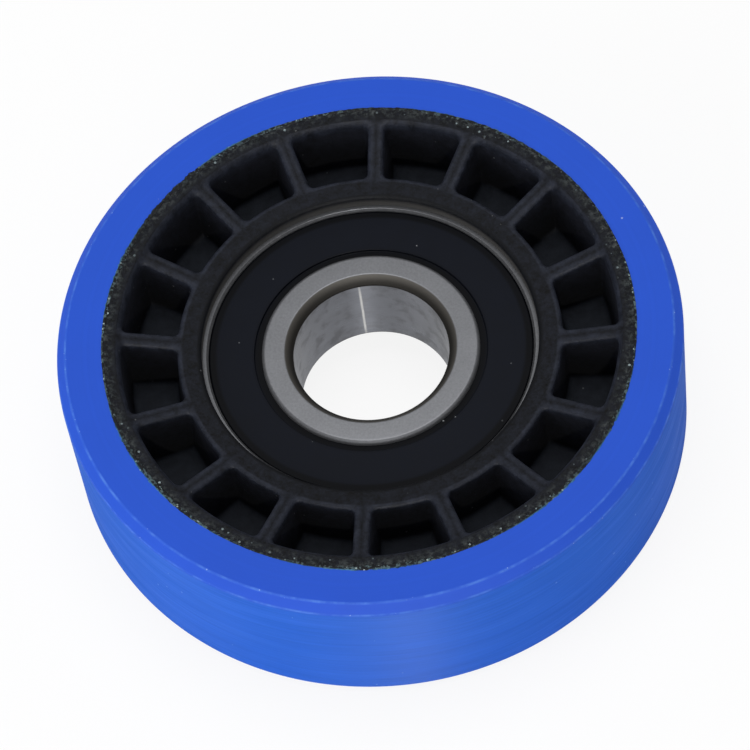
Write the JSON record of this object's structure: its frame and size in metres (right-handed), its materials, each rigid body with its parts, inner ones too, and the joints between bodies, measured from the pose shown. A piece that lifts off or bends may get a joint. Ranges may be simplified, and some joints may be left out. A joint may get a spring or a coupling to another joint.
{
  "type": "step roller",
  "caption": "Blue-tyred guide wheel with a black pocketed hub moulded round a sealed ball bearing; rolls on a rail under a moving step.",
  "frame": {"origin": "middle of the roller, on the axis of the bore, half way between its two side faces", "axes": "+Z along the bore, out of the side that shows in the picture; +X along a rib of the hub"},
  "size_m": [0.08, 0.08, 0.022],
  "materials": {
    "tyre_polyurethane": "satin",
    "hub_nylon": "matte",
    "bearing_steel": "satin",
    "ball_steel": "polished",
    "cage_steel": "satin",
    "seal_rubber": "satin",
    "insert_steel": "satin"
  },
  "bodies": {
    "axle_side": {"inner_ring": "bearing_steel"},
    "wheel": {"tyre": "tyre_polyurethane", "hub": "hub_nylon", "outer_ring": "bearing_steel", "seal_upper": "seal_rubber", "seal_upper_insert": "insert_steel", "seal_lower": "seal_rubber", "seal_lower_insert": "insert_steel"},
    "cage": {"cage_upper": "cage_steel", "cage_lower": "cage_steel", "cage_rivets": "cage_steel"},
    "ball_1": {"ball_1": "ball_steel"},
    "ball_2": {"ball_2": "ball_steel"},
    "ball_3": {"ball_3": "ball_steel"},
    "ball_4": {"ball_4": "ball_steel"},
    "ball_5": {"ball_5": "ball_steel"},
    "ball_6": {"ball_6": "ball_steel"},
    "ball_7": {"ball_7": "ball_steel"},
    "ball_8": {"ball_8": "ball_steel"}
  },
  "joints": [
    {"name": "roller_spin", "type": "hinge", "parent": "axle_side", "child": "wheel", "pos_m": [0, 0, 0], "axis": [0, 0, 1], "continuous": true},
    {"name": "cage_spin", "type": "hinge", "parent": "axle_side", "child": "cage", "pos_m": [0, 0, 0], "axis": [0, 0, 1], "continuous": true},
    {"name": "ball_1_spin", "type": "hinge", "parent": "cage", "child": "ball_1", "pos_m": [0.01675, 0, 0], "axis": [0, 0, 1], "continuous": true},
    {"name": "ball_2_spin", "type": "hinge", "parent": "cage", "child": "ball_2", "pos_m": [0.01184, 0.01184, 0], "axis": [0, 0, 1], "continuous": true},
    {"name": "ball_3_spin", "type": "hinge", "parent": "cage", "child": "ball_3", "pos_m": [0, 0.01675, 0], "axis": [0, 0, 1], "continuous": true},
    {"name": "ball_4_spin", "type": "hinge", "parent": "cage", "child": "ball_4", "pos_m": [-0.01184, 0.01184, 0], "axis": [0, 0, 1], "continuous": true},
    {"name": "ball_5_spin", "type": "hinge", "parent": "cage", "child": "ball_5", "pos_m": [-0.01675, 0, 0], "axis": [0, 0, 1], "continuous": true},
    {"name": "ball_6_spin", "type": "hinge", "parent": "cage", "child": "ball_6", "pos_m": [-0.01184, -0.01184, 0], "axis": [0, 0, 1], "continuous": true},
    {"name": "ball_7_spin", "type": "hinge", "parent": "cage", "child": "ball_7", "pos_m": [0, -0.01675, 0], "axis": [0, 0, 1], "continuous": true},
    {"name": "ball_8_spin", "type": "hinge", "parent": "cage", "child": "ball_8", "pos_m": [0.01184, -0.01184, 0], "axis": [0, 0, 1], "continuous": true}
  ],
  "couplings": [
    {"joint": "cage_spin", "follows": "roller_spin", "ratio": 0.61848},
    {"joint": "ball_1_spin", "follows": "roller_spin", "ratio": 1.9916},
    {"joint": "ball_2_spin", "follows": "roller_spin", "ratio": 1.9916},
    {"joint": "ball_3_spin", "follows": "roller_spin", "ratio": 1.9916},
    {"joint": "ball_4_spin", "follows": "roller_spin", "ratio": 1.9916},
    {"joint": "ball_5_spin", "follows": "roller_spin", "ratio": 1.9916},
    {"joint": "ball_6_spin", "follows": "roller_spin", "ratio": 1.9916},
    {"joint": "ball_7_spin", "follows": "roller_spin", "ratio": 1.9916},
    {"joint": "ball_8_spin", "follows": "roller_spin", "ratio": 1.9916}
  ]
}
